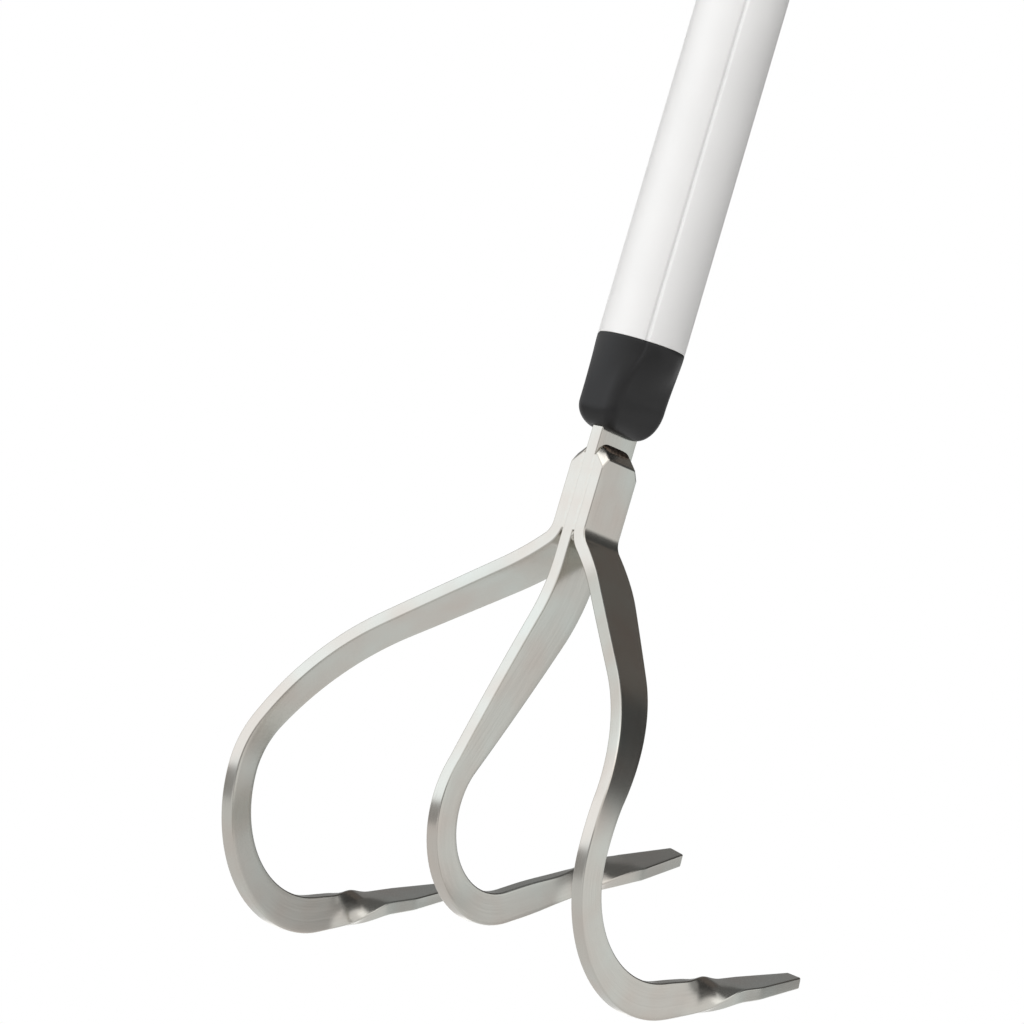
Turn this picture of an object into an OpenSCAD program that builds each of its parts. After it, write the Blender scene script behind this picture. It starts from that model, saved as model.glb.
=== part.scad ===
// Long handled cultivator claw: three hooked steel tines welded side by side into a neck,
// a black moulded ferrule, a white coated four-lobed aluminium handle and an end cap to hang it by.
// Origin: centre of the hanging hole. +Z runs up the handle, +Y is the way the tips point,
// and +X is the side of the right tine. Millimetres.

/* [Handle] */
// Length of the handle tube
tube_len = 1260; // [300:10:1800]
// Size of the handle across two opposite lobes
tube_across = 33; // [32:0.5:36]
// Radius of each of the four lobes
lobe_r = 14.4; // [13.5:0.1:15]
// Wall of the handle tube
tube_wall = 1.6; // [1.2:0.1:2]
// Width of the groove between two lobes
groove_w = 2; // [1:0.1:2.6]

/* [Ferrule] */
// Length of the ferrule below the tube
ferrule_len = 33.7; // [32:0.1:45]
// Half width of the ferrule's lower end, across the flat of the tang
ferrule_half_x = 9.3; // [8:0.1:11]
// Reach of the ferrule's lower end to the front, along the flat of the tang
ferrule_front = 15.1; // [13.5:0.1:17]
// Reach of the ferrule's lower end to the back
ferrule_back = 16; // [13.5:0.1:17]
// Corner radius of the ferrule's lower end
ferrule_corner = 4.5; // [2:0.5:6]
// Length of the round lower end of the ferrule, at the front
ferrule_round = 14; // [8:0.5:16]
// Length of the round lower end of the ferrule, at the back
ferrule_round_back = 7; // [5:0.5:16]
// Length of the ferrule's spigot inside the tube
spigot_len = 64; // [60:1:90]

/* [End cap] */
// Length of the end cap above the tube
cap_len = 54; // [48:1:70]
// Half width of the hanging tab
tab_half_x = 14.5; // [13:0.1:16]
// Half thickness of the hanging tab
tab_half_y = 8; // [6.5:0.1:9]
// Radius of the hanging hole
hang_r = 4.5; // [3:0.1:5]
// Height of the hanging hole above the tube's end
hang_h = 34; // [30:0.5:36]

/* [Tine bars] */
// Thickness of the bars
bar_t = 5; // [4.6:0.1:5.4]
// Width of the bars at the neck
neck_w = 20.8; // [18:0.1:21]
// Width of the bars in the hook
hook_w = 10.9; // [9.5:0.1:12]
// Width of the outer bars at the end of the hook
outer_end_w = 13.4; // [11:0.1:14]
// Width of the middle bar at the end of the hook
middle_end_w = 11.8; // [11:0.1:14]
// Width of the outer blades
outer_blade_w = 13; // [10:0.1:14]
// Width of the middle blade
middle_blade_w = 13.2; // [10:0.1:14]
// Width of a blade's end
tip_w = 6.5; // [4:0.1:8]
// Shift of a blade's end towards the blade's far edge
tip_shift = 1.2; // [0:0.1:2]
// Thickness of an outer blade's end
outer_tip_t = 4.2; // [2.5:0.1:4.8]
// Thickness of the middle blade's end
middle_tip_t = 5; // [2.5:0.1:5.4]
// Broken edge along the bars
edge_c = 0.5; // [0.4:0.1:1]
// Turn of the outer blades from upright to flat
outer_twist = 83; // [60:1:90]
// Turn of the middle blade from upright to flat
middle_twist = 77; // [60:1:90]
// Distance from the start of the right blade's turn to its tip
right_twist_from = 65; // [58:1:70]
// Distance from the start of the left blade's turn to its tip
left_twist_from = 69; // [58:1:70]
// Length of an outer blade's turn
outer_twist_len = 30; // [18:1:31]
// Distance from the start of the middle blade's turn to its tip
middle_twist_from = 72; // [68:1:86]
// Length of the middle blade's turn
middle_twist_len = 45; // [20:1:46]
// Share of its width that an outer bar loses where it starts to turn
outer_waist = 0.1; // [0:0.01:0.2]
// Share of its width that the middle bar loses where it starts to turn
middle_waist = 0.2; // [0:0.01:0.25]
// Length over which a blade narrows to its end
point_len = 27; // [18:1:30]

/* [Outer tines] */
// Straight length below the split
outer_lead = 4.1; // [2:0.1:8]
// Radius of the bend backwards
outer_back_r = 68; // [50:1:90]
// Angle of the lean backwards
outer_lean = 22.4; // [18:0.1:26]
// Straight length of the shank
outer_shank = 101.7; // [90:0.1:112]
// Radius of the hook
outer_hook_r = 45.1; // [40:0.1:50]
// Rise of the right tip above level
right_rise = 17.8; // [10:0.1:24]
// Rise of the left tip above level
left_rise = 19.3; // [10:0.1:24]
// Straight length after the hook
outer_tip = 75.5; // [72:0.1:90]
// Spread of the tines from the neck
spread = 47; // [35:0.5:50]
// Radius of the bend outwards
spread_r = 9.5; // [8:0.1:14]
// Straight length of the spread
spread_len = 63; // [50:1:66]
// Radius of the bend back to upright
return_r = 89; // [70:1:92]

/* [Middle tine] */
// Straight length below the split
middle_lead = 11.2; // [6:0.1:16]
// Radius of the bend backwards
middle_back_r = 69; // [50:1:90]
// Angle of the lean backwards
middle_lean = 22.9; // [18:0.1:26]
// Straight length of the shank
middle_shank = 61.7; // [52:0.1:70]
// Radius of the hook
middle_hook_r = 32; // [28:0.1:36]
// Rise of the bar above level after the hook
middle_rise = 26; // [20:0.1:30]
// Length from the hook to the tip
middle_tip = 96.9; // [90:0.1:110]
// Bend of the blade back towards level
middle_dip = 5.5; // [2:0.1:12]
// Radius of that bend
middle_dip_r = 110; // [90:1:140]
// Straight length from that bend to the tip
middle_flat = 39; // [30:1:46]

/* [Neck] */
// Height of the side bars above the split
neck_h = 29.5; // [26:0.5:32]
// Height of the ferrule's lower end above the split
ferrule_h = 35.6; // [35:0.1:42]
// Bevel on the side bars' upper ends
neck_bevel = 4; // [3:0.1:4.4]
// Corner cut on the side bars' upper ends
neck_corner = 2.6; // [1.5:0.1:3.5]
// Length of the tang above the split
tang_len = 118; // [112:1:122]

/* [Hidden] */

// Room between parts that slide together
slip = 0.15;
// Overrun of a cutting tool past the face that it cuts
past = 1;
// Heights above the split of the tines
tube_foot = ferrule_h + ferrule_len;
tube_head = tube_foot + tube_len;
head_z = -(tube_head + hang_h);

// Half thickness of the three bars side by side
stack_half = bar_t * 1.5;

// Handle section: each lobe is a circle set off from the axis
lobe_off = tube_across / 2 - lobe_r;
spigot_r = lobe_r - tube_wall - slip;
// Blend from the lobed section to a flat tab, below a short plain collar
collar = 1.5;
blend_len = 20;
cap_spigot = 42;
cap_round = 12;
cap_corner = 6;
// Share of a nose's section that its round end takes away
round_share = 0.58;
// Height of the slight crown on the end of a nose
nose_crown = 0.4;
// Facets round a moulded nose, and levels along its blend and its round end
nose_sides = 48;
blend_steps = 9;
round_steps = 7;

// Fastenings inside the handle: the pin below the tang's end, the screw above the tube's foot
pin_below = 14;
screw_above = 54;
pin_r = 2.5;
pin_wall = 0.8;
pin_slot = 0.9;
pin_len = 24;
pin_h = tang_len - pin_below;
screw_r = 2;
screw_len = 13;
screw_head_r = 4;
screw_head_h = 2.4;
screw_dome_r = 8;
screw_recess = 1;
screw_recess_depth = 1.4;
screw_h = tube_foot + screw_above;

// Welds: how far a top bead climbs the tang and reaches down the bevel
bead_climb = 1.7;
bead_reach = 1.6;
// A crotch bead fills the narrow gap below the split between these depths, less far on the left
crotch_top = 1.5;
left_crotch_low = 3;
right_crotch_low = 5.2;
crotch_slip = 0.05;
crotch_steps = 4;
// Ends of the seam welds above the split
seam_low = 0.5;
seam_high = 26;

// Stations of a tine: close together through the bend outwards, then spaced along the bar
bend_zone = 14;
bend_steps = 12;
station_step = 4;
// The taper from the neck to the hook starts just below the split, and its curve differs by tine
taper_from = 5;
outer_taper = 1.4;
middle_taper = 1.82;
// Heading at which the bar starts to widen from the hook to the blade
widen_from = 20;
// A blade: its turn, where the turn starts before the tip and how long it is, how thick the blade's end is,
// the bar's width at the hook's end, the blade's width, and the share of width that the bar loses at its waist
function outer_blade(from) =
  [outer_twist, from, outer_twist_len, outer_tip_t, outer_end_w, outer_blade_w, outer_waist];
middle_blade =
  [middle_twist, middle_twist_from, middle_twist_len, middle_tip_t, middle_end_w, middle_blade_w, middle_waist];
// The waist lies a third of the way into the turn and runs out over this share of the turn's length
waist_at = 1 / 3;
waist_run = 0.7;

$fn = 96;

// Smooth step from 0 to 1
function ease(x) = let (c = min(1, max(0, x))) c * c * (3 - 2 * c);

// A bar's centre line is laid out flat as straights and arcs: [length, turn per millimetre in degrees]
function arc(radius, angle) = [radius * abs(angle) * PI / 180, sign(angle) * 180 / (PI * radius)];
function straight(length) = [length, 0];
// Place reached from [forward, down, heading] after a length with a steady turn
function advance(p, length, turn) =
  turn == 0
    ? [p[0] + length * sin(p[2]), p[1] + length * cos(p[2]), p[2]]
    : let (radius = 180 / (PI * turn), heading = p[2] + length * turn)
      [
        p[0] + radius * (cos(p[2]) - cos(heading)),
        p[1] + radius * (sin(heading) - sin(p[2])),
        heading
      ];
// Place at distance s along a list of straights and arcs
function along(runs, s, i = 0, p = [0, 0, 0]) =
  i == len(runs) - 1 || s <= runs[i][0]
    ? advance(p, s, runs[i][1])
    : along(runs, s - runs[i][0], i + 1, advance(p, runs[i][0], runs[i][1]));
function total(runs, i = 0) = i == len(runs) ? 0 : runs[i][0] + total(runs, i + 1);

function outer_runs(rise) = [
  straight(outer_lead), arc(outer_back_r, -outer_lean), straight(outer_shank),
  arc(outer_hook_r, outer_lean + 90 + rise), straight(outer_tip)
];
middle_runs = [
  straight(middle_lead), arc(middle_back_r, -middle_lean), straight(middle_shank),
  arc(middle_hook_r, middle_lean + 90 + middle_rise),
  straight(middle_tip - middle_flat - arc(middle_dip_r, -middle_dip)[0]),
  arc(middle_dip_r, -middle_dip), straight(middle_flat)
];

// Sideways shape of an outer tine: [out, down, tilt] at a depth measured along the bar's face
spread_runs = [arc(spread_r, spread), straight(spread_len), arc(return_r, -spread), straight(outer_shank)];
function sideways(depth, side) = side == 0 || depth <= 0 ? [0, depth, 0] : along(spread_runs, depth);

// Width and thickness of a bar at distance s, with the heading there
function bar_width(runs, s, heading, rise, curve, blade) =
  let (
    taper_to = runs[0][0] + runs[1][0] + runs[2][0],
    taper = pow(min(1, max(0, (s - taper_from) / (taper_to - taper_from))), curve),
    widen = ease((heading - widen_from) / (90 + rise - widen_from)),
    left = total(runs) - s,
    from = blade[1],
    run = blade[2],
    end_w = blade[4],
    spread_out = (blade[5] - end_w) * ease((from - left) / (from - point_len)),
    full = neck_w + (hook_w - neck_w) * taper + (end_w - hook_w) * widen + spread_out,
    from_waist = abs(left - from + waist_at * run),
    waisted = full * (1 - blade[6] * ease(1 - from_waist / (waist_run * run)))
  )
  left < point_len ? tip_w + (full - tip_w) * left / point_len : waisted;
function bar_thickness(runs, s, blade) =
  let (flat = blade[1] - blade[2], tip_t = blade[3], left = total(runs) - s)
  left < flat ? tip_t + (bar_t - tip_t) * left / flat : bar_t;
function bar_shift(runs, s) = tip_shift * max(0, 1 - (total(runs) - s) / point_len);
function bar_turn(runs, s, blade) = blade[0] * ease((blade[1] - (total(runs) - s)) / blade[2]);

// Section of a bar with broken edges: [across its width, through its thickness]
function bar_section(w, t) =
  let (a = w / 2, b = t / 2, c = edge_c)
  [[a, b - c], [a - c, b], [c - a, b], [-a, b - c], [-a, c - b], [c - a, -b], [a - c, -b], [a, c - b]];

// One ring of a tine: the section turned, set on the flat layout, then bent sideways
function tine_ring(runs, s, side, rise, curve, blade) =
  let (
    p = along(runs, s),
    turn = bar_turn(runs, s, blade),
    shift = bar_shift(runs, s),
    section = bar_section(bar_width(runs, s, p[2], rise, curve, blade), bar_thickness(runs, s, blade))
  )
  [
    for (q = section)
      let (
        across = (q[0] + shift) * cos(turn) + q[1] * sin(turn),
        through = q[1] * cos(turn) - (q[0] + shift) * sin(turn),
        bent = sideways(p[1] - across * sin(p[2]), side)
      )
      [
        side * (bar_t + bent[0]) + through * cos(bent[2]),
        p[0] + across * cos(p[2]),
        -bent[1] + side * through * sin(bent[2])
      ]
  ];
function stations(runs) =
  let (rest = total(runs) - bend_zone, steps = ceil(rest / station_step))
  concat(
    [for (i = [0 : bend_steps - 1]) bend_zone * i / bend_steps],
    [for (i = [0 : steps]) bend_zone + rest * i / steps]
  );

// Solid through a list of rings that run up or along, each ring going round the same way.
// Its far end is flat, or rises to a point on the axis by the height of its crown.
module skin(rings, crown = 0) {
  sides = len(rings[0]);
  last = len(rings) - 1;
  peak = [0, 0, rings[last][0][2] + crown];
  walls = [
    for (i = [0 : last - 1], j = [0 : sides - 1])
      let (a = i * sides + j, b = i * sides + (j + 1) % sides)
      each [[a, a + sides, b], [b, a + sides, b + sides]]
  ];
  near_end = [for (j = [0 : sides - 1]) j];
  far_end = [for (j = [0 : sides - 1]) last * sides + sides - 1 - j];
  far_fan = [for (j = [0 : sides - 1]) [far_end[j], far_end[(j + 1) % sides], (last + 1) * sides]];
  polyhedron(
    points = concat([for (ring = rings) each ring], crown > 0 ? [peak] : []),
    faces = concat(walls, [near_end], crown > 0 ? far_fan : [far_end]),
    convexity = 6
  );
}

// The free part of a tine, from the split to the tip
module tine_hook(runs, side, rise, curve, blade) {
  skin([for (s = stations(runs)) tine_ring(runs, s, side, rise, curve, blade)]);
}

// Straight bar above the split, lying side by side with its neighbours
module neck_bar(x, height) {
  translate([x, 0, 0])
    linear_extrude(height)
      polygon([for (q = bar_section(neck_w, bar_t)) [q[1], q[0]]]);
}

// An outer tine's bar in the neck, with its upper end bevelled and its corners cut
module side_neck(side) {
  reach = 3 * neck_w;
  difference() {
    neck_bar(side * bar_t, neck_h);
    translate([side * (stack_half - neck_bevel), 0, neck_h])
      rotate([0, side * 45, 0])
        translate([-reach / 2, -reach / 2, 0])
          cube([reach, reach, neck_w]);
    for (end = [-1, 1])
      translate([side * (stack_half - neck_bevel), end * neck_w / 2, neck_h])
        rotate([0, side * 45, 0])
          rotate([45, 0, 0])
            cube([reach, neck_corner * sqrt(2), neck_corner * sqrt(2)], center = true);
  }
}

// Four overlapping circles, for the handle and for what fits inside it
module lobes(radius) {
  for (i = [0 : 3])
    rotate(90 * i)
      translate([lobe_off, 0])
        circle(radius);
}

// Radius of the lobed outline at an angle, and of a rectangle with round corners
function lobed_r(angle) =
  let (from_lobe = angle - 90 * round(angle / 90), rise = lobe_off * sin(from_lobe))
  lobe_off * cos(from_lobe) + sqrt(lobe_r * lobe_r - rise * rise);
function tab_r(angle, half_x, half_y, corner) =
  let (
    u = [abs(cos(angle)), abs(sin(angle))],
    c = [half_x - corner, half_y - corner],
    reach = c * u
  )
  u[1] * half_x < u[0] * c[1] ? half_x / u[0]
    : u[0] * half_y < u[1] * c[0] ? half_y / u[1]
    : reach + sqrt(corner * corner - c * c + reach * reach);
// Places on the two outlines. The valley between two lobes goes with a corner of the rectangle.
function lobed_place(angle) = lobed_r(angle) * [cos(angle), sin(angle)];
function tab_place(angle, half_x, half_y, corner) =
  let (
    inset = corner * (1 - sqrt(0.5)),
    corner_at = atan2(half_y - inset, half_x - inset),
    quarter = floor(angle / 90),
    part = angle - 90 * quarter,
    turn = quarter % 2 == 0 ? corner_at : 90 - corner_at,
    share = part < 45 ? part * turn / 45 : turn + (part - 45) * (90 - turn) / 45,
    matched = 90 * quarter + share
  )
  tab_r(matched, half_x, half_y, corner) * [cos(matched), sin(matched)];

// Moulded nose: a lobed collar that blends into a flat, round end, growing along +Z
module nose(length, half_x, front, back, corner, round_front, round_back) {
  round_len = max(round_front, round_back);
  round_from = length - round_len;
  blend_to = min(collar + blend_len, round_from);
  round_start = blend_to < round_from ? 0 : 1;
  levels = concat(
    [0],
    [for (i = [0 : blend_steps]) collar + (blend_to - collar) * i / blend_steps],
    [for (i = [round_start : round_steps]) round_from + round_len * sin(90 * i / round_steps)]
  );
  rings = [
    for (z = levels)
      let (mix = ease((z - collar) / blend_len))
      [
        for (i = [0 : nose_sides - 1])
          let (
            angle = 360 * i / nose_sides,
            round_here = (round_front + round_back + (round_front - round_back) * sin(angle)) / 2,
            over = max(0, z - length + round_here) / round_here,
            keep = 1 - round_share * (1 - sqrt(max(0, 1 - over * over))),
            flat = tab_place(angle, half_x, sin(angle) < 0 ? back : front, corner),
            place = keep * ((1 - mix) * lobed_place(angle) + mix * flat)
          )
          [place[0], place[1], z]
      ]
  ];
  skin(rings, nose_crown);
}

// White coated aluminium extrusion, with a thin groove between its lobes
module handle_tube() {
  color("whitesmoke")
    translate([0, 0, tube_foot])
      difference() {
        linear_extrude(tube_len)
          difference() {
            lobes(lobe_r);
            lobes(lobe_r - tube_wall);
            for (i = [0 : 3])
              rotate(45 + 90 * i)
                translate([lobed_r(45), 0])
                  rotate(45)
                    square(groove_w / 2, center = true);
          }
        translate([0, 0, screw_h - tube_foot])
          rotate([-90, 0, 0])
            cylinder(r = screw_r + slip, h = tube_across);
      }
}

// Moulded cap: a spigot in the tube and a flat tab with the hanging hole
module end_cap() {
  color("black")
    translate([0, 0, tube_head])
      difference() {
        union() {
          nose(cap_len, tab_half_x, tab_half_y, tab_half_y, cap_corner, cap_round, cap_round);
          translate([0, 0, -cap_spigot])
            linear_extrude(cap_spigot + collar)
              lobes(spigot_r);
        }
        translate([0, 0, hang_h])
          rotate([90, 0, 0])
            cylinder(r = hang_r, h = tube_across, center = true);
      }
}

// Moulded nose and spigot that hold the tang in the handle
module ferrule() {
  slot_x = bar_t + 2 * slip;
  slot_y = neck_w + 2 * slip;
  color("black")
    difference() {
      union() {
        translate([0, 0, tube_foot])
          mirror([0, 0, 1])
            nose(
              ferrule_len, ferrule_half_x, ferrule_front, ferrule_back, ferrule_corner,
              ferrule_round, ferrule_round_back
            );
        translate([0, 0, tube_foot - collar])
          linear_extrude(spigot_len + collar)
            lobes(spigot_r);
      }
      translate([-slot_x / 2, -slot_y / 2, ferrule_h - past])
        cube([slot_x, slot_y, tang_len + slip - ferrule_h + past]);
      translate([0, 0, pin_h])
        rotate([0, 90, 0])
          cylinder(r = pin_r, h = tube_across, center = true);
      translate([0, 0, screw_h])
        rotate([-90, 0, 0])
          cylinder(r = screw_r, h = tube_across);
    }
}

// Screw through the tube's front wall into the ferrule's spigot
module ferrule_screw() {
  seat = tube_across / 2;
  color("silver")
    translate([0, seat, screw_h])
      rotate([-90, 0, 0])
        difference() {
          union() {
            translate([0, 0, -screw_len])
              cylinder(r = screw_r, h = screw_len);
            rotate_extrude()
              intersection() {
                square([screw_head_r, screw_head_h]);
                translate([0, screw_head_h - screw_dome_r])
                  circle(screw_dome_r);
              }
          }
          for (turn = [0, 90])
            rotate(turn)
              translate([0, 0, screw_head_h])
                cube([screw_head_r, screw_recess, 2 * screw_recess_depth], center = true);
        }
}

// Slotted spring pin through the spigot and the tang
module tang_pin() {
  color("dimgray")
    translate([0, 0, pin_h])
      rotate([0, 90, 0])
        linear_extrude(pin_len, center = true)
          difference() {
            circle(pin_r);
            circle(pin_r - pin_wall);
            translate([0, -pin_slot / 2])
              square([pin_r + past, pin_slot]);
          }
}

// Middle bar, whose straight upper end is the tang
module middle_tine() {
  color("silver")
    union() {
      difference() {
        neck_bar(0, tang_len);
        translate([0, 0, pin_h])
          rotate([0, 90, 0])
            cylinder(r = pin_r, h = neck_w, center = true);
      }
      tine_hook(middle_runs, 0, middle_rise, middle_taper, middle_blade);
    }
}

// Outer bar, bent outwards below the split; the tip of each side has its own rise
module outer_tine(side) {
  rise = side > 0 ? right_rise : left_rise;
  color("silver")
    union() {
      side_neck(side);
      tine_hook(outer_runs(rise), side, rise, outer_taper,
        outer_blade(side > 0 ? right_twist_from : left_twist_from));
    }
}

// Weld along the joint of two bars, ground flush with their edges
module seam_weld(side, end) {
  joint = side * bar_t / 2;
  face = end * neck_w / 2;
  color("gainsboro")
    translate([0, 0, seam_low])
      linear_extrude(seam_high - seam_low)
        polygon([[joint - edge_c, face], [joint + edge_c, face], [joint, face - end * edge_c]]);
}

// Bead on a side bar's upper end, up against the tang
module top_weld(side) {
  root = bar_t / 2;
  land = stack_half - neck_bevel;
  color("gainsboro")
    mirror([side < 0 ? 1 : 0, 0, 0])
      rotate([90, 0, 0])
        linear_extrude(neck_w - 2 * neck_corner - 2 * edge_c, center = true)
          polygon([
            [root, neck_h + bead_climb], [root, neck_h],
            [land, neck_h], [land + bead_reach, neck_h - bead_reach]
          ]);
}

// Bead in the narrow gap just below the split, against the round of the outer bar's bend
module crotch_weld(side) {
  root = bar_t / 2;
  bend = spread_r + bar_t / 2;
  low = side < 0 ? left_crotch_low : right_crotch_low;
  depths = [for (i = [0 : crotch_steps]) crotch_top + (low - crotch_top) * i / crotch_steps];
  color("gainsboro")
    mirror([side < 0 ? 1 : 0, 0, 0])
      rotate([90, 0, 0])
        linear_extrude(neck_w - 4 * edge_c, center = true)
          polygon(concat(
            [[root, -low], [root, -crotch_top]],
            [for (d = depths) [root + bend - sqrt(pow(bend + crotch_slip, 2) - d * d), -d]]
          ));
}

// Everything below is drawn with the hanging hole at the origin
module placed() {
  translate([0, 0, head_z])
    children();
}

placed() handle_tube();
placed() end_cap();
placed() ferrule();
placed() ferrule_screw();
placed() tang_pin();
placed() middle_tine();
placed() outer_tine(-1);  // left_tine
placed() outer_tine(1);  // right_tine
placed() seam_weld(-1, -1);  // left_rear_seam_weld
placed() seam_weld(1, -1);  // right_rear_seam_weld
placed() seam_weld(-1, 1);  // left_front_seam_weld
placed() seam_weld(1, 1);  // right_front_seam_weld
placed() top_weld(-1);  // left_top_weld
placed() top_weld(1);  // right_top_weld
placed() crotch_weld(-1);  // left_crotch_weld
placed() crotch_weld(1);  // right_crotch_weld
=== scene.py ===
# %% [markdown]
# # A long handled cultivator claw
# Three hooked tines, cut from flat stainless bar, are welded side by side into a neck. The middle bar
# runs on as a tang into a black moulded ferrule, which plugs the foot of a white coated handle.
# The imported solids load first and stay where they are, as a fixed frame. Each one that can be seen is
# then modelled again in the same place, with the smooth bends, round edges and finish of the real piece.

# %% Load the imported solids
import math

import bmesh
import bpy
from mathutils import Matrix, Vector


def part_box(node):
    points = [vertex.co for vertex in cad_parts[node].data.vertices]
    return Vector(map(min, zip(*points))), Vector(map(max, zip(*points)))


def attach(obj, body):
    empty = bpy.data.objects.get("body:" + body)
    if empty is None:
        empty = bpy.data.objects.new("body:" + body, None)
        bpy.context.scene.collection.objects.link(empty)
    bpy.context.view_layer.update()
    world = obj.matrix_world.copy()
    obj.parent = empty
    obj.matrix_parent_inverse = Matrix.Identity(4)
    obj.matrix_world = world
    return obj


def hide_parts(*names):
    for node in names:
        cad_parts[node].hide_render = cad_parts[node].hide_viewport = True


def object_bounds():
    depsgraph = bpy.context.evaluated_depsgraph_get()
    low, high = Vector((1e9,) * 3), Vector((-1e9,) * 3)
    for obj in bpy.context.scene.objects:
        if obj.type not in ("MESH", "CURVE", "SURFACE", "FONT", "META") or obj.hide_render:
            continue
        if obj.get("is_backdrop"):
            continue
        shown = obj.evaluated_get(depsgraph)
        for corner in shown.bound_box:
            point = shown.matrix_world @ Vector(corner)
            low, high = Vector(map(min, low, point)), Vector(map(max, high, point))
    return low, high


MM = 0.001
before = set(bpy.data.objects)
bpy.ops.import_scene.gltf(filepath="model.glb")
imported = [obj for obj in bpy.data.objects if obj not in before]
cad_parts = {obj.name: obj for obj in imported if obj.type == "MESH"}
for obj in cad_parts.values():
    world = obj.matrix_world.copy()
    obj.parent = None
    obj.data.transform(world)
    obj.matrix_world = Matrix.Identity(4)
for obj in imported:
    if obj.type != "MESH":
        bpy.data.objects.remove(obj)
cad_low, cad_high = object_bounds()
print("solids:", len(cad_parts), "box in mm:", [round(v / MM) for v in cad_high - cad_low])

# %% [markdown]
# Every height comes from the frame, so that the pieces meet the solids. The split is the level where
# the three bars part. Below it lie the hooks, above it the neck, the ferrule and the long handle.

# %% Heights read from the frame, in metres
NECK_RISE = 29.5 * MM
tube_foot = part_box("handle_tube")[0].z
tube_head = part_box("handle_tube")[1].z
neck_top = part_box("left_tine")[1].z
tang_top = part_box("middle_tine")[1].z
split = neck_top - NECK_RISE
print("split at", round(split / MM, 1), "mm")
print("handle from", round(tube_foot / MM, 1), "to", round(tube_head / MM, 1), "mm")

# %% [markdown]
# A few helpers stand for what the hand does in edit mode. A new primitive has its place applied at
# once, so that its points are in the frame's own coordinates. Points and edges are picked by a test on
# their place, and an operator then works on what is picked. With no window, the rotate operator turns
# the other way, so the helper that uses it changes the sign.


# %% Helpers for edit mode
def start_piece(name):
    """Name the primitive that was just added, fix its place in its mesh, and start to edit it."""
    piece = bpy.context.object
    piece.name = name
    piece.data.name = name
    bpy.ops.object.transform_apply(location=True, rotation=True, scale=True)
    bpy.ops.object.mode_set(mode="EDIT")
    bpy.ops.mesh.select_mode(type="VERT")
    return piece


def pick_points(piece, wanted):
    """Select the points that pass a test, and nothing else."""
    mesh = bmesh.from_edit_mesh(piece.data)
    for point in mesh.verts:
        point.select_set(wanted(point))
    mesh.select_flush_mode()
    bmesh.update_edit_mesh(piece.data)


def pick_edges(piece, wanted):
    """Select the edges that pass a test, and nothing else."""
    bpy.ops.mesh.select_mode(type="EDGE")
    mesh = bmesh.from_edit_mesh(piece.data)
    for edge in mesh.edges:
        edge.select_set(wanted(edge))
    mesh.select_flush_mode()
    bmesh.update_edit_mesh(piece.data)


def turn_picked(angle, axis, centre):
    """Turn what is selected by a right-handed angle about an axis through a centre."""
    bpy.ops.transform.rotate(value=-angle, orient_axis=axis, center_override=centre)


def finish_edit(piece, smooth_under=40):
    """Point the faces outwards, leave edit mode, and shade smooth with firm flats."""
    bpy.ops.mesh.select_mode(type="VERT")
    bpy.ops.mesh.select_all(action="SELECT")
    bpy.ops.mesh.normals_make_consistent(inside=False)
    bpy.ops.object.mode_set(mode="OBJECT")
    smooth_flats(piece, smooth_under)


def smooth_flats(piece, smooth_under=40):
    """Smooth the small angles, and let the large faces set the normals along their edges."""
    bpy.ops.object.select_all(action="DESELECT")
    piece.select_set(True)
    bpy.context.view_layer.objects.active = piece
    bpy.ops.object.shade_smooth_by_angle(angle=math.radians(smooth_under))
    firm = piece.modifiers.new("firm flats", "WEIGHTED_NORMAL")
    firm.keep_sharp = True
    bpy.ops.object.modifier_apply(modifier=firm.name)


def cut_away(piece, cutter):
    """Cut one solid out of another, as a drill or a mould core does, and throw the cutter away."""
    bpy.ops.object.select_all(action="DESELECT")
    bpy.context.view_layer.objects.active = piece
    cut = piece.modifiers.new("cut", "BOOLEAN")
    cut.operation = "DIFFERENCE"
    cut.solver = "EXACT"
    cut.object = cutter
    bpy.ops.object.modifier_apply(modifier=cut.name)
    bpy.data.objects.remove(cutter)


def settle(piece, node, finish):
    """Give a piece its finish, let it stand for a solid, and let it ride on the tool."""
    piece.data.materials.clear()
    piece.data.materials.append(finish)
    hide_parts(node)
    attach(piece, "root")
    print(piece.name, "stands for", node, "with", len(piece.data.polygons), "faces")


print("helpers ready")

# %% [markdown]
# Each finish is made of nodes. One function adds a node with its settings and links, and another turns
# a colour as it is seen on a screen into the linear numbers that the renderer mixes. The last one wires
# a finish: patterns drive its tint between two colours, its roughness over a range, and its fine relief.
# Most of a noise pattern lies between 0.3 and 0.7, so the roughness changes over that part of it.

# %% Helpers for materials
NOISE_LOW = 0.3
NOISE_HIGH = 0.7


def screen_colour(code):
    """Linear colour of an sRGB hex code."""
    parts = [int(code[i:i + 2], 16) / 255 for i in (1, 3, 5)]
    linear = [p / 12.92 if p <= 0.04045 else ((p + 0.055) / 1.055) ** 2.4 for p in parts]
    return (*linear, 1)


def add_node(tree, kind, links=None, **settings):
    """Add a node, set what is given, and link or fill its sockets."""
    made = tree.nodes.new(kind)
    for name, value in settings.items():
        setattr(made, name, value)
    for socket, source in (links or {}).items():
        if isinstance(source, bpy.types.NodeSocket):
            tree.links.new(source, made.inputs[socket])
        else:
            made.inputs[socket].default_value = source
    return made


def start_material(name):
    """A new material with one main shader, and the tree to build on."""
    material = bpy.data.materials.new(name)
    material.use_nodes = True
    tree = material.node_tree
    tree.nodes.clear()
    shader = add_node(tree, "ShaderNodeBsdfPrincipled")
    add_node(tree, "ShaderNodeOutputMaterial", {"Surface": shader.outputs["BSDF"]})
    return material, tree, shader


def per_mm(size):
    """Texture scale at which one feature is about this many millimetres."""
    return 1 / (size * MM)


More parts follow.
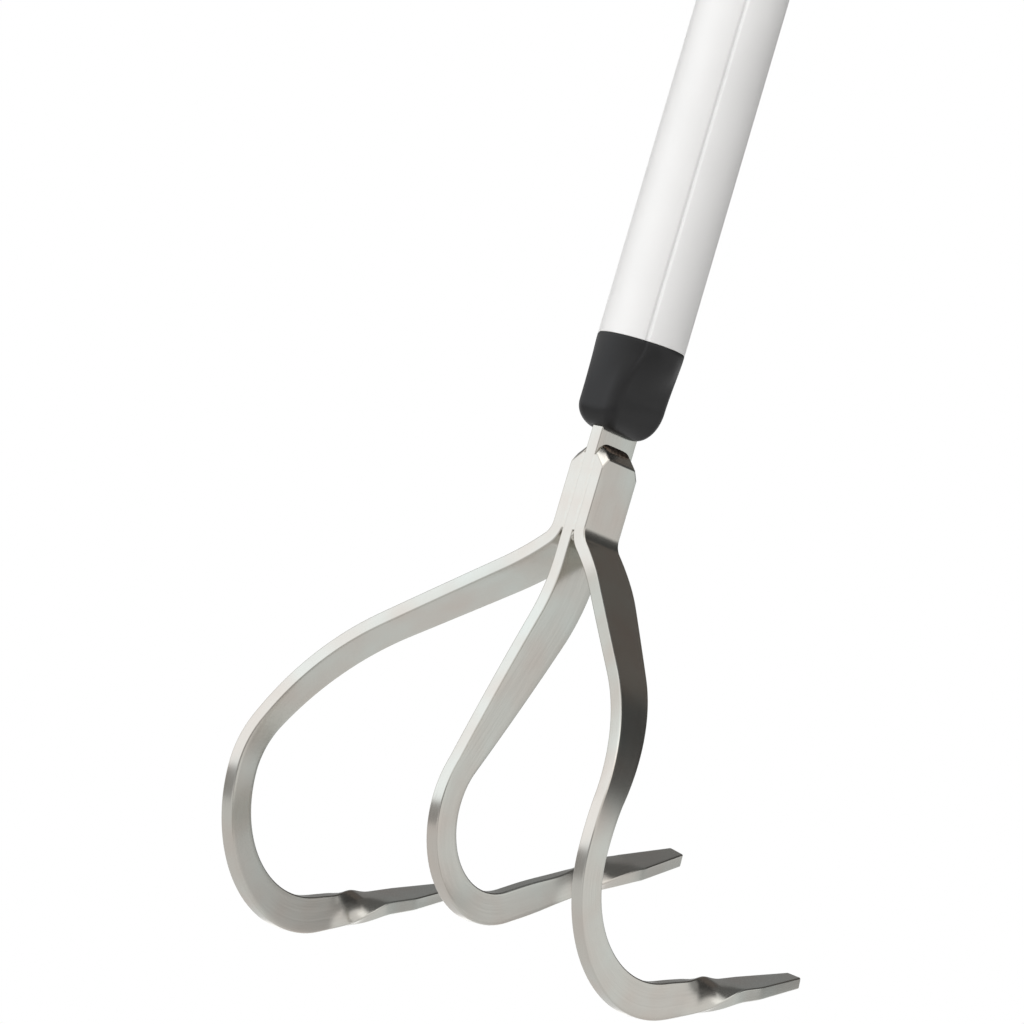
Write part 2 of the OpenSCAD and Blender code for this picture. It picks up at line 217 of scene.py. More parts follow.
def wire_finish(tree, shader, tint, gloss, relief=None):
    """Wire a tint with two stops, a roughness with two ends, and a relief with strength and depth."""
    pattern, *stops = tint
    ramp = add_node(tree, "ShaderNodeValToRGB", {"Fac": pattern})
    for element, (position, code) in zip(ramp.color_ramp.elements, stops):
        element.position = position
        element.color = screen_colour(code)
    tree.links.new(ramp.outputs["Color"], shader.inputs["Base Color"])
    pattern, smoothest, roughest = gloss
    rough = add_node(
        tree, "ShaderNodeMapRange",
        {
            "Value": pattern, "From Min": NOISE_LOW, "From Max": NOISE_HIGH,
            "To Min": smoothest, "To Max": roughest,
        },
    )
    tree.links.new(rough.outputs["Result"], shader.inputs["Roughness"])
    if relief:
        pattern, strength, depth = relief
        bump = add_node(
            tree, "ShaderNodeBump", {"Height": pattern, "Strength": strength, "Distance": depth * MM}
        )
        tree.links.new(bump.outputs["Normal"], shader.inputs["Normal"])


print("material helpers ready")

# %% [markdown]
# ## Polished stainless bar
# The tines are stainless flat bar, ground along its length and then polished, so the reflections are
# clear but a little soft. Stainless steel reflects about 55 to 60 percent of the light, slightly warm.
# The grinding follows the bar round every bend, so its pattern can't use plain object coordinates:
# each tine carries an attribute with the place of every point in the straight blank, before bending.
# The real scratches are a few hundredths of a millimetre apart. They are drawn about 0.4 mm apart and
# very faint, which is as fine as the picture can show.

# %% Stainless steel for the tines
SCRATCH = 0.4
SCRATCH_STRETCH = 60
CLOUD = 22


def polished_stainless():
    """Ground and polished stainless flat bar: clear, soft reflections with long faint scratches."""
    material, tree, shader = start_material("polished_stainless_bar")
    blank = add_node(tree, "ShaderNodeAttribute", attribute_name="blank_place")
    drawn_out = add_node(
        tree, "ShaderNodeVectorMath",
        {0: blank.outputs["Vector"], 1: (1, 1, 1 / SCRATCH_STRETCH)}, operation="MULTIPLY",
    )
    scratches = add_node(
        tree, "ShaderNodeTexNoise", {"Vector": drawn_out.outputs[0], "Scale": per_mm(SCRATCH), "Detail": 3}
    )
    clouds = add_node(
        tree, "ShaderNodeTexNoise",
        {"Vector": blank.outputs["Vector"], "Scale": per_mm(CLOUD), "Detail": 2},
    )
    wire_finish(
        tree, shader,
        tint=(clouds.outputs["Fac"], (0.3, "#C1BAB2"), (0.7, "#C4C7C1")),
        gloss=(scratches.outputs["Fac"], 0.17, 0.25),
        relief=(scratches.outputs["Fac"], 0.05, 0.02),
    )
    shader.inputs["Metallic"].default_value = 1
    return material


stainless = polished_stainless()
print("made", stainless.name)

# %% [markdown]
# ## Weld metal
# The seams are filled with stainless weld metal. Where it was ground flush it can hardly be told from the
# bar. The beads on top of the side bars were left as laid: the heat has turned their skin brown, and it
# is rougher, with small pits.

# %% Weld metal
WELD_SKIN = 1.2
PIT_DEPTH = 0.1


def cloudy_metal(name, size, tint, gloss, relief=None):
    """A metal whose tint, gloss and relief follow clouds of a size in millimetres."""
    material, tree, shader = start_material(name)
    place = add_node(tree, "ShaderNodeTexCoord")
    clouds = add_node(
        tree, "ShaderNodeTexNoise", {"Vector": place.outputs["Object"], "Scale": per_mm(size), "Detail": 4}
    )
    pattern = clouds.outputs["Fac"]
    wire_finish(tree, shader, (pattern, *tint), (pattern, *gloss), (pattern, *relief) if relief else None)
    shader.inputs["Metallic"].default_value = 1
    return material


ground_weld = cloudy_metal(
    "ground_stainless_weld", WELD_SKIN,
    tint=((0.35, "#C2BDB5"), (0.65, "#C4C3BC")), gloss=(0.17, 0.25), relief=(0.02, PIT_DEPTH),
)
burnt_weld = cloudy_metal(
    "heat_tinted_stainless_weld", WELD_SKIN,
    tint=((0.35, "#43382F"), (0.65, "#6F635A")), gloss=(0.3, 0.46), relief=(0.25, PIT_DEPTH),
)
print("made", ground_weld.name, "and", burnt_weld.name)

# %% [markdown]
# ## White powder coat
# The handle is an aluminium extrusion with a baked powder coat. Powder melts into a satin skin with a
# fine orange peel, waves of about a millimetre and a few microns deep, which soften every highlight.

# %% Powder coat for the handle
PEEL = 1.1
DRIFT = 40


def powder_coat():
    """White polyester powder coat: satin, with a fine orange peel."""
    material, tree, shader = start_material("white_powder_coat")
    place = add_node(tree, "ShaderNodeTexCoord")
    peel = add_node(
        tree, "ShaderNodeTexNoise", {"Vector": place.outputs["Object"], "Scale": per_mm(PEEL), "Detail": 2}
    )
    drift = add_node(
        tree, "ShaderNodeTexNoise",
        {"Vector": place.outputs["Object"], "Scale": per_mm(DRIFT), "Detail": 2},
    )
    wire_finish(
        tree, shader,
        tint=(drift.outputs["Fac"], (0.3, "#ECECEC"), (0.7, "#F1F1F1")),
        gloss=(peel.outputs["Fac"], 0.36, 0.44),
        relief=(peel.outputs["Fac"], 0.12, 0.03),
    )
    shader.inputs["IOR"].default_value = 1.5
    return material


coating = powder_coat()
print("made", coating.name)

# %% [markdown]
# ## Black moulded nylon
# The ferrule and the end cap are glass filled nylon, moulded in a spark eroded tool. The tool leaves a
# fine grain of about 0.45 mm, and the glass fibres near the skin show as slightly paler flecks.

# %% Nylon for the mouldings
GRAIN = 0.45
FLOW = 9


def moulded_nylon():
    """Black glass filled nylon: a deep grey black with a fine moulded grain."""
    material, tree, shader = start_material("black_glass_filled_nylon")
    place = add_node(tree, "ShaderNodeTexCoord")
    grain = add_node(
        tree, "ShaderNodeTexVoronoi", {"Vector": place.outputs["Object"], "Scale": per_mm(GRAIN)}
    )
    flow = add_node(
        tree, "ShaderNodeTexNoise", {"Vector": place.outputs["Object"], "Scale": per_mm(FLOW), "Detail": 5}
    )
    wire_finish(
        tree, shader,
        tint=(flow.outputs["Fac"], (0.35, "#151516"), (0.7, "#1B1B1C")),
        gloss=(flow.outputs["Fac"], 0.42, 0.52),
        relief=(grain.outputs["Distance"], 0.18, 0.04),
    )
    shader.inputs["IOR"].default_value = 1.53
    shader.inputs["Specular IOR Level"].default_value = 0.33
    return material


nylon = moulded_nylon()
print("made", nylon.name)

# %% [markdown]
# ## Zinc plate and spring steel
# The screw is carbon steel with a bright zinc plate, which is bluish and a little cloudy. The pin inside
# the handle is hardened spring steel, left dark from the heat treatment.

# %% Zinc plate for the screw, spring steel for the pin
SPANGLE = 1.5
SCALE_CLOUD = 2

zinc = cloudy_metal(
    "bright_zinc_plate", SPANGLE, tint=((0.3, "#BFC3C8"), (0.7, "#CDD0D3")), gloss=(0.24, 0.36)
)
spring_steel = cloudy_metal(
    "dark_spring_steel", SCALE_CLOUD, tint=((0.3, "#5A5B5E"), (0.7, "#707174")), gloss=(0.3, 0.45)
)
print("made", zinc.name, "and", spring_steel.name)

# %% [markdown]
# ## The tines
# A tine could be drawn as a curve with a bevel, but a curve keeps one section and twists as it likes.
# So each tine is made the way a smith makes it. A straight blank is drawn out, ring by ring, from the
# neck to the tip, and it grows narrower and thinner on the way. The tip is then wrung flat, the hook is
# folded a little at each ring, and the outer tines are pressed outwards and back again. Each of these is
# the same small act: take everything beyond a place on the bar and turn it a little.
#
# Below the split a tine has a lead, a bend back to its lean, a shank and the hook. Beyond the hook, the
# middle blade dips back towards level. The twist starts at a distance from the tip, earlier on the left
# tine than on the right one, and the bar has a slight waist in it. The point is ground from the near side
# alone, so its middle shifts towards the far edge. The rise is the slope of each tip.

# %% Sizes of the bars, in millimetres and degrees
BAR_T = 5.0
NECK_W = 20.8
HOOK_W = 10.9
TIP_W = 6.5
TIP_SHIFT = 1.2
POINT_LEN = 27.0
TAPER_FROM = 5.0
WIDEN_FROM = 20.0
WAIST_AT = 1 / 3
WAIST_RUN = 0.7
OUTER = {
    "lead": 4.1, "back_r": 68.0, "lean": 22.4, "shank": 101.7, "hook_r": 45.1, "tip": 75.5,
    "dip": 0.0, "dip_r": 110.0, "flat": 39.0, "taper": 1.4, "end_w": 13.4, "blade_w": 13.0, "tip_t": 4.2,
    "twist": 83.0, "twist_from": 65.0, "twist_len": 30.0, "waist": 0.1,
}
LEFT = {**OUTER, "twist_from": 69.0}
MIDDLE = {
    "lead": 11.2, "back_r": 69.0, "lean": 22.9, "shank": 61.7, "hook_r": 32.0, "tip": 96.9,
    "dip": 5.5, "dip_r": 110.0, "flat": 39.0, "taper": 1.82, "end_w": 11.8, "blade_w": 13.2, "tip_t": 5.0,
    "twist": 77.0, "twist_from": 72.0, "twist_len": 45.0, "waist": 0.2,
}
RISE = {"left": 19.3, "middle": 26.0, "right": 17.8}
print("bar", BAR_T, "x", NECK_W, "mm at the neck,", HOOK_W, "mm in the hook")

# %% [markdown]
# The hook's outline is a row of straights and arcs, given by a length and a turn. From it come the
# heading at any distance along the bar, the width and thickness there, and the twist of the tip.


# %% The outline of a tine
def ease(x):
    """A smooth step from 0 to 1."""
    c = min(1, max(0, x))
    return c * c * (3 - 2 * c)


def runs_of(tine, rise):
    """Straights and arcs from the split to the tip: length in millimetres and turn in degrees."""
    hook = tine["lean"] + 90 + rise
    dip_len = tine["dip_r"] * math.radians(tine["dip"])
    runs = [
        (tine["lead"], 0),
        (tine["back_r"] * math.radians(tine["lean"]), -tine["lean"]),
        (tine["shank"], 0),
        (tine["hook_r"] * math.radians(hook), hook),
        (tine["tip"] - tine["flat"] - dip_len, 0),
        (dip_len, -tine["dip"]),
        (tine["flat"], 0),
    ]
    return [run for run in runs if run[0] > 0]


def length_of(runs):
    """Length of a row of straights and arcs, in millimetres."""
    return sum(length for length, turn in runs)


def heading_at(runs, s):
    """Heading of the bar, in degrees forward of straight down, at distance s."""
    heading = 0
    for length, turn in runs:
        share = min(1, max(0, s / length))
        heading += turn * share
        s -= length
    return heading


def width_at(tine, rise, s):
    """Width of the bar: a taper to the hook, a slight widening to the blade, a waist, and the point."""
    runs = runs_of(tine, rise)
    before_hook = runs[:3]
    taper_to = length_of(before_hook)
    taper = min(1, max(0, (s - TAPER_FROM) / (taper_to - TAPER_FROM))) ** tine["taper"]
    widen = ease((heading_at(runs, s) - WIDEN_FROM) / (90 + rise - WIDEN_FROM))
    left = length_of(runs) - s
    spread_out = ease((tine["twist_from"] - left) / (tine["twist_from"] - POINT_LEN))
    full = NECK_W + (HOOK_W - NECK_W) * taper + (tine["end_w"] - HOOK_W) * widen
    full += (tine["blade_w"] - tine["end_w"]) * spread_out
    if left < POINT_LEN:
        return TIP_W + (full - TIP_W) * left / POINT_LEN
    from_waist = abs(left - tine["twist_from"] + WAIST_AT * tine["twist_len"])
    return full * (1 - tine["waist"] * ease(1 - from_waist / (WAIST_RUN * tine["twist_len"])))


def thickness_at(tine, total, s):
    """Thickness of the bar: even as far as the blade, then thinner to its end."""
    flat = tine["twist_from"] - tine["twist_len"]
    left = total - s
    return tine["tip_t"] + (BAR_T - tine["tip_t"]) * left / flat if left < flat else BAR_T


def shift_at(total, s):
    """Shift of the section towards the blade's far edge: the point is ground from the near side."""
    return TIP_SHIFT * max(0, 1 - (total - s) / POINT_LEN)


def twist_at(tine, total, s):
    """Turn of the bar about its own line, in degrees."""
    return tine["twist"] * ease((tine["twist_from"] - (total - s)) / tine["twist_len"])


outer_len = length_of(runs_of(OUTER, RISE["right"]))
print("outer bar is", round(outer_len), "mm long below the split")

# %% [markdown]
# The blank starts as a plane of the bar's section, cut into strips across its width so that the faces
# can follow the later bends. Rings lie half a millimetre apart where the outer bars bend sharply, and
# two millimetres apart elsewhere. Before anything is bent, the place of each point is kept twice: as a
# list that the folding steps read, and as an attribute for the grinding pattern.

# %% Straight blanks
STRIPS = 6
RING_STEP = 2.0
FINE_STEP = 0.5
FINE_TO = 14.0
SHORTEST_STEP = 0.01
TOUCHING = 0.001 * MM


def ring_places(above, total):
    """Distances of the rings along the bar, from its upper end to the tip, in millimetres."""
    places = [-above, 0]
    while places[-1] < total - SHORTEST_STEP:
        step = FINE_STEP if places[-1] < FINE_TO else RING_STEP
        places.append(min(places[-1] + step, total))
    return places


def straight_blank(name, tine, rise, above):
    """Draw a straight, tapered bar from its upper end down to the tip, ring by ring."""
    total = length_of(runs_of(tine, rise))
    places = ring_places(above, total)
    top = split + above * MM
    bpy.ops.mesh.primitive_plane_add(size=1, location=(0, 0, top))
    piece = start_piece(name)
    bpy.ops.transform.resize(value=(BAR_T * MM, NECK_W * MM, 1), center_override=(0, 0, top))
    pick_edges(piece, lambda edge: abs(edge.verts[0].co.x - edge.verts[1].co.x) < TOUCHING)
    bpy.ops.mesh.subdivide(number_cuts=STRIPS - 1)
    bpy.ops.mesh.select_mode(type="VERT")
    bpy.ops.mesh.select_all(action="SELECT")
    for last, here in zip(places, places[1:]):
        centre = (0, shift_at(total, here) * MM, split - here * MM)
        step = (0, (shift_at(total, here) - shift_at(total, last)) * MM, (last - here) * MM)
        bpy.ops.mesh.extrude_region_move(TRANSFORM_OT_translate={"value": step})
        narrower = width_at(tine, rise, here) / width_at(tine, rise, last)
        thinner = thickness_at(tine, total, here) / thickness_at(tine, total, last)
        bpy.ops.transform.resize(value=(thinner, narrower, 1), center_override=centre)
    return piece, places


def keep_blank_place(piece):
    """Keep where each point lies in the straight blank: through, across and along the bar."""
    bpy.ops.object.mode_set(mode="OBJECT")
    kept = piece.data.attributes.new("blank_place", "FLOAT_VECTOR", "POINT")
    for point in piece.data.vertices:
        kept.data[point.index].vector = point.co
    distances = [(split - point.co.z) / MM for point in piece.data.vertices]
    bpy.ops.object.mode_set(mode="EDIT")
    return distances


print("rings on an outer bar:", len(ring_places(NECK_RISE / MM, outer_len)))

# %% [markdown]
# Wringing and folding are loops over the gaps between rings. At each gap, all the points beyond it turn
# by the small angle that the bar makes there. The twist turns about the bar itself. The hook turns about
# a hinge on the bar's centre line, whose place is worked out as the folding goes along.


# %% Wring the tip and fold the hook
def turn_beyond(piece, distances, limit, angle, axis, centre):
    """Turn every point whose kept distance is beyond the limit."""
    pick_points(piece, lambda point: distances[point.index] > limit)
    turn_picked(math.radians(angle), axis, centre)


def wring_tip(piece, tine, places, distances):
    """Twist the tip flat, a little at each gap between rings."""
    total = places[-1]
    for last, here in zip(places, places[1:]):
        turn = twist_at(tine, total, here) - twist_at(tine, total, last)
        if turn > 0:
            turn_beyond(piece, distances, (last + here) / 2, turn, "Z", (0, 0, split))


def step_along(place, length, heading):
    """Move a place, given as out and down from the split, along a heading in degrees."""
    out, down = place
    turn = math.radians(heading)
    return out + length * math.sin(turn), down + length * math.cos(turn)


def fold_hook(piece, runs, places, distances):
    """Bend the bar back and then round its hook, a little at each gap between rings."""
    place = (0, 0)
    heading = 0
    for last, here in zip(places[1:], places[2:]):
        half = (here - last) / 2
        turn = heading_at(runs, here) - heading_at(runs, last)
        place = step_along(place, half, heading)
        if abs(turn) > 0:
            hinge = (0, place[0] * MM, split - place[1] * MM)
            turn_beyond(piece, distances, last + half, turn, "X", hinge)
        heading += turn
        place = step_along(place, half, heading)
    return place


print("folding ready")

# %% [markdown]
# The outer bars are pressed outwards across their faces, as in a folding press: the bend lines are level,
# so the whole hook swings out with the bar. A sharp bend just below the split throws the bar out by 47
# degrees, and a long gentle one brings it back upright. Each bend is made of a hundred very small presses,
# so that the polished face stays smooth.

# %% Press an outer bar outwards
SPREAD = 47.0
SPREAD_R = 9.5
SPREAD_LEN = 63.0
RETURN_R = 89.0
PRESSES = 100


def press_outwards(piece, side):
    """Bend an outer tine outwards and back, by the depth of its points below the split."""
    mesh = bmesh.from_edit_mesh(piece.data)
    depths = [(split - point.co.z) / MM for point in mesh.verts]
    place = (0, 0)
    tilt = 0
    depth = 0
    for radius, bend, straight in ((SPREAD_R, SPREAD, SPREAD_LEN), (RETURN_R, -SPREAD, 0)):
        turn = bend / PRESSES
        gap = radius * math.radians(abs(turn))
        for press in range(PRESSES):
            hinge_depth = depth + (press + 0.5) * gap
            place = step_along(place, gap / 2, tilt)
            hinge = (side * place[0] * MM, 0, split - place[1] * MM)
            turn_beyond(piece, depths, hinge_depth, -side * turn, "Y", hinge)
            tilt += turn
            place = step_along(place, gap / 2, tilt)
        depth += PRESSES * gap + straight
        place = step_along(place, straight, tilt)
    return place[0]


print("presses for each bend:", PRESSES)

# %% [markdown]
# The side bars end below the ferrule with a ground bevel, and the two corners of the bevel are cut off.
# Three flat cuts do that. Last, every sharp edge is rounded by 0.6 mm, as a belt grinder leaves it, and
# the shading is weighted towards the large faces, so that they stay flat up to their round edges.

# %% Neck cuts and round edges
NECK_BEVEL = 4.0
NECK_CORNER = 2.6
BELOW_SPLIT = 0.1
EDGE_ROUND = 0.6
EDGE_FACES = 3
SHARP = 30.0


def cut_neck(piece, place, normal):
    """Cut off what lies on the outer side of a plane, in the neck alone, and close the cut."""
    pick_points(piece, lambda point: point.co.z > split - BELOW_SPLIT * MM)
    bpy.ops.mesh.bisect(plane_co=place, plane_no=normal, use_fill=True, clear_outer=True)


def grind_neck_end(piece, side):
    """Bevel the upper end of a side bar and cut the corners of the bevel."""
    land = side * (1.5 * BAR_T - NECK_BEVEL) * MM
    outwards = Vector((side, 0, 1)).normalized()
    cut_neck(piece, (land, 0, neck_top), outwards)
    for end in (-1, 1):
        corner = (land, end * (NECK_W / 2 - NECK_CORNER) * MM, neck_top)
        cut_neck(piece, corner, (outwards + Vector((0, end, 0))).normalized())


def round_edges():
    """Round every sharp edge of the piece that is being edited."""
    bpy.ops.mesh.select_mode(type="EDGE")
    bpy.ops.mesh.select_all(action="DESELECT")
    bpy.ops.mesh.edges_select_sharp(sharpness=math.radians(SHARP))
    bpy.ops.mesh.bevel(
        offset=EDGE_ROUND * MM, segments=EDGE_FACES, profile=0.5, affect="EDGES", clamp_overlap=False
    )


print("edges are rounded by", EDGE_ROUND, "mm")

# %% [markdown]
# The middle tine goes first. It is the longest bar: its upper end is the tang, which runs up through the
# ferrule and is pinned inside the handle.

# %% Middle tine
middle, rings = straight_blank("forged_middle_tine", MIDDLE, RISE["middle"], (tang_top - split) / MM)
along = keep_blank_place(middle)
wring_tip(middle, MIDDLE, rings, along)
reach, depth = fold_hook(middle, runs_of(MIDDLE, RISE["middle"]), rings, along)
round_edges()
finish_edit(middle)
settle(middle, "middle_tine", stainless)
print("its tip is", round(reach, 1), "mm forward and", round(depth, 1), "mm below the split")

# %% [markdown]
# The two outer tines are alike but for the side that they bend to, the rise of their tips and the start of
# the twist. Both tips are wrung the same way round, so the two are not quite mirror images, and neither
# can be a mirrored copy.

# %% Outer tines
for word, side, sizes in (("left", -1, LEFT), ("right", 1, OUTER)):
    outer, rings = straight_blank("forged_" + word + "_tine", sizes, RISE[word], NECK_RISE / MM)
    along = keep_blank_place(outer)
    wring_tip(outer, sizes, rings, along)
    fold_hook(outer, runs_of(sizes, RISE[word]), rings, along)
    reach = press_outwards(outer, side)
    bpy.ops.mesh.select_all(action="SELECT")
    bpy.ops.transform.translate(value=(side * BAR_T * MM, 0, 0))
    grind_neck_end(outer, side)
    round_edges()
    finish_edit(outer)
    settle(outer, word + "_tine", stainless)
    print("it reaches", round(reach + BAR_T, 1), "mm to its side")

# %% [markdown]
# ## Outlines round the handle
# The handle is an aluminium extrusion with four soft lobes and a thin groove between each two. The
# mouldings start with the same outline, so that they meet the tube flush, and blend into a flat tab with
# round corners. An outline is a function that gives a place for each angle round the axis. A moulding
# grows ring by ring from a filled circle: the end face is extruded, and its points are pushed to the next
# outline. Each point keeps the angle that it had on the circle, and extruding hands it on to the next
# ring, so a valley between two lobes can run down the mesh into a corner of the tab.

# %% Outlines and rings, sizes in millimetres
LOBE_R = 14.4
LOBE_OFF = 2.1
GROOVE_DEPTH = 0.6
GROOVE_HALF = 3.75
AROUND = 576


def at_angle(reach, angle):
    """Place at a reach from the axis and an angle in degrees."""
    return Vector((reach * math.cos(math.radians(angle)), reach * math.sin(math.radians(angle))))


def lobes(angle, radius=LOBE_R):
    """Place on the outline of the four lobes."""
    from_lobe = math.radians(angle - 90 * round(angle / 90))
    rise = LOBE_OFF * math.sin(from_lobe)
    return at_angle(LOBE_OFF * math.cos(from_lobe) + math.sqrt(radius ** 2 - rise ** 2), angle)


def groove_at(angle):
    """Depth of the groove at an angle: full in the valley between two lobes, none beyond its lips."""
    from_valley = abs(angle - 45 - 90 * round((angle - 45) / 90))
    return GROOVE_DEPTH * ease(1 - from_valley / GROOVE_HALF)


def tab(angle, half_x, half_y, corner):
    """Place on a rectangle with round corners, whose corners go with the valleys between the lobes."""
    inset = corner * (1 - math.sqrt(0.5))
    corner_at = math.degrees(math.atan2(half_y - inset, half_x - inset))
    quarter = math.floor(angle / 90)
    part = angle - 90 * quarter
    turn = corner_at if quarter % 2 == 0 else 90 - corner_at
    share = part * turn / 45 if part < 45 else turn + (part - 45) * (90 - turn) / 45
    matched = 90 * quarter + share
    ux = abs(math.cos(math.radians(matched)))
    uy = abs(math.sin(math.radians(matched)))
    cx = half_x - corner
    cy = half_y - corner
    if uy * half_x < ux * cy:
        return at_angle(half_x / ux, matched)
    if ux * half_y < uy * cx:
        return at_angle(half_y / uy, matched)
    to_corner = cx * ux + cy * uy
    return at_angle(to_corner + math.sqrt(corner ** 2 - cx ** 2 - cy ** 2 + to_corner ** 2), matched)


def within(outline, inset):
    """The same outline, drawn in towards the axis by an inset."""
    return lambda angle: outline(angle) - inset * outline(angle).normalized()


def push_end(piece, outline):
    """Push the points of the selected end face to an outline."""
    mesh = bmesh.from_edit_mesh(piece.data)
    around = mesh.verts.layers.float["around"]
    for point in mesh.verts:
        if point.select:
            point.co.x, point.co.y = outline(point[around]) * MM
    bmesh.update_edit_mesh(piece.data)


def grow_rings(name, rings):
    """Grow a solid from ring to ring. Each ring is a height in metres and an outline."""
    bpy.ops.mesh.primitive_circle_add(
        vertices=AROUND, radius=LOBE_R * MM, location=(0, 0, rings[0][0]), fill_type="NGON"
    )
    piece = start_piece(name)
    mesh = bmesh.from_edit_mesh(piece.data)
    around = mesh.verts.layers.float.new("around")
    for point in mesh.verts:
        point[around] = math.degrees(math.atan2(point.co.y, point.co.x))
    bpy.ops.mesh.select_all(action="SELECT")
    push_end(piece, rings[0][1])
    for last, here in zip(rings, rings[1:]):
        bpy.ops.mesh.extrude_region_move(TRANSFORM_OT_translate={"value": (0, 0, here[0] - last[0])})
        push_end(piece, here[1])
    return piece


print("reach at a lobe", lobes(0).length, "mm, in a valley", round(lobes(45).length, 2), "mm")

# %% [markdown]
# ## Handle tube
# The tube is one long extrusion. It grows from the foot to the head with a rim that is slightly broken,
# and it is bored through with the same four lobes, smaller by the wall. Two rings lie close to the screw,
# so that the small faces round its hole don't run the whole length of the tube.

# %% Handle tube
TUBE_WALL = 1.6
RIM = 0.3
RIM_STEP = 0.3 * RIM
BORE_PAST = 5 * MM
SCREW_RADIUS = 2.0
SLIP = 0.15
ROUND_SCREW = 8 * MM
DRILL_SIDES = 48
screw_low, screw_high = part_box("ferrule_screw")
screw_z = (screw_low.z + screw_high.z) / 2


def tube_outline(angle):
    """Outside of the tube: four lobes with a groove between each two."""
    return lobes(angle) - at_angle(groove_at(angle), angle)


def bore_outline(angle):
    """Inside of the tube."""
    return lobes(angle, LOBE_R - TUBE_WALL)


def drill(piece, radius, place, axis, length):
    """Drill a round hole of a radius in metres, centred on a place."""
    turn = {"X": (0, math.pi / 2, 0), "Y": (math.pi / 2, 0, 0)}[axis]
    bpy.ops.mesh.primitive_cylinder_add(
        vertices=DRILL_SIDES, radius=radius, depth=length, location=place, rotation=turn
    )
    cut_away(piece, bpy.context.object)


tube = grow_rings("coated_handle_tube", [
    (tube_foot, within(tube_outline, RIM)),
    (tube_foot + RIM_STEP * MM, within(tube_outline, RIM_STEP)),
    (tube_foot + RIM * MM, tube_outline),
    (screw_z - ROUND_SCREW, tube_outline),
    (screw_z + ROUND_SCREW, tube_outline),
    (tube_head - RIM * MM, tube_outline),
    (tube_head - RIM_STEP * MM, within(tube_outline, RIM_STEP)),
    (tube_head, within(tube_outline, RIM)),
])
finish_edit(tube)
bore = grow_rings("bore_of_the_tube", [
    (tube_foot - BORE_PAST, bore_outline), (tube_head + BORE_PAST, bore_outline),
])
finish_edit(bore)
cut_away(tube, bore)
drill(tube, (SCREW_RADIUS + SLIP) * MM, (0, screw_high.y, screw_z), "Y", 2 * ROUND_SCREW)
smooth_flats(tube)
settle(tube, "handle_tube", coating)
print("tube is", round((tube_head - tube_foot) / MM), "mm long")

# %% [markdown]
# ## Moulded noses
# The ferrule and the end cap share one shape: a spigot inside the tube, a collar flush with it, a blend
# from the lobes to a flat tab, and a round end. The groove runs on into the moulding and fades out.
# One function lists the rings of such a nose, away from the tube, for either direction.

# %% Rings of a nose
SPIGOT_R = LOBE_R - TUBE_WALL - SLIP
LEAD_IN = 1.0
COLLAR = 1.5
BLEND_LEN = 20.0
GROOVE_FADE = 13.0
GROOVE_RUN = 0.6
ROUND_SHARE = 0.58
BLEND_RINGS = 20
END_RINGS = 22


def nose_outline(z, length, rounds, end_tab):
    """Outline of a nose at a distance from the tube's end. Rounds are the front's and the back's."""
    mix = ease((z - COLLAR) / BLEND_LEN)
    fade = GROOVE_RUN * (1 - ease(z / GROOVE_FADE))
    front, back = rounds

    def outline(angle):
        round_len = (front + back + (front - back) * math.sin(math.radians(angle))) / 2
        over = min(1, max(0, z - length + round_len) / round_len)
        keep = 1 - ROUND_SHARE * (1 - math.sqrt(1 - over * over))
        lobed = within(lobes, fade * groove_at(angle))(angle)
        return keep * lobed.lerp(end_tab(angle), mix)

    return outline


def spigot_outline(angle):
    """Outline of the spigot inside the tube."""
    return lobes(angle, SPIGOT_R)


def nose_rings(joint, away, spigot_len, length, rounds, end_tab):
    """Rings of a moulding from its spigot to its round end. Away is 1 upwards and -1 downwards."""
    round_len = max(rounds)
    end_from = length - round_len
    levels = [RIM, COLLAR]
    levels += [COLLAR + (end_from - COLLAR) * i / BLEND_RINGS for i in range(1, BLEND_RINGS + 1)]
    turns = [math.pi / 2 * i / END_RINGS for i in range(1, END_RINGS + 1)]
    levels += [end_from + round_len * math.sin(turn) for turn in turns]
    collar = nose_outline(0, length, rounds, end_tab)
    rings = [
        (joint - away * spigot_len * MM, within(spigot_outline, LEAD_IN)),
        (joint - away * (spigot_len - LEAD_IN) * MM, spigot_outline),
        (joint, spigot_outline),
        (joint, within(collar, RIM)),
        (joint + away * RIM_STEP * MM, within(collar, RIM_STEP)),
    ]
    rings += [(joint + away * z * MM, nose_outline(z, length, rounds, end_tab)) for z in levels]
    return rings


print("a nose has", BLEND_RINGS + END_RINGS, "rings in its blend and its end")

# %% [markdown]
# ## Ferrule
# The lower moulding. Its tab is narrow across the flat of the tang and reaches a little further to the
# back than to the front. The tang's slot, the pin's hole and the screw's hole are cut as mould cores and
# a drill would leave them.

# %% Ferrule
FERRULE_LEN = 33.7
FERRULE_ROUNDS = (14.0, 7.0)
FERRULE_HALF_X = 9.3
FERRULE_FRONT = 15.1
FERRULE_BACK = 16.0
FERRULE_CORNER = 4.5
SPIGOT_LEN = 64.0
SLOT_PAST = 3.0
PIN_R = 2.5
PIN_HOLE_LEN = 40 * MM
SCREW_HOLE_LEN = 20 * MM
pin_low, pin_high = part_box("tang_pin")
pin_z = (pin_low.z + pin_high.z) / 2


def ferrule_tab(angle):
    """Outline of the ferrule's lower end."""
    half_y = FERRULE_BACK if math.sin(math.radians(angle)) < 0 else FERRULE_FRONT
    return tab(angle, FERRULE_HALF_X, half_y, FERRULE_CORNER)


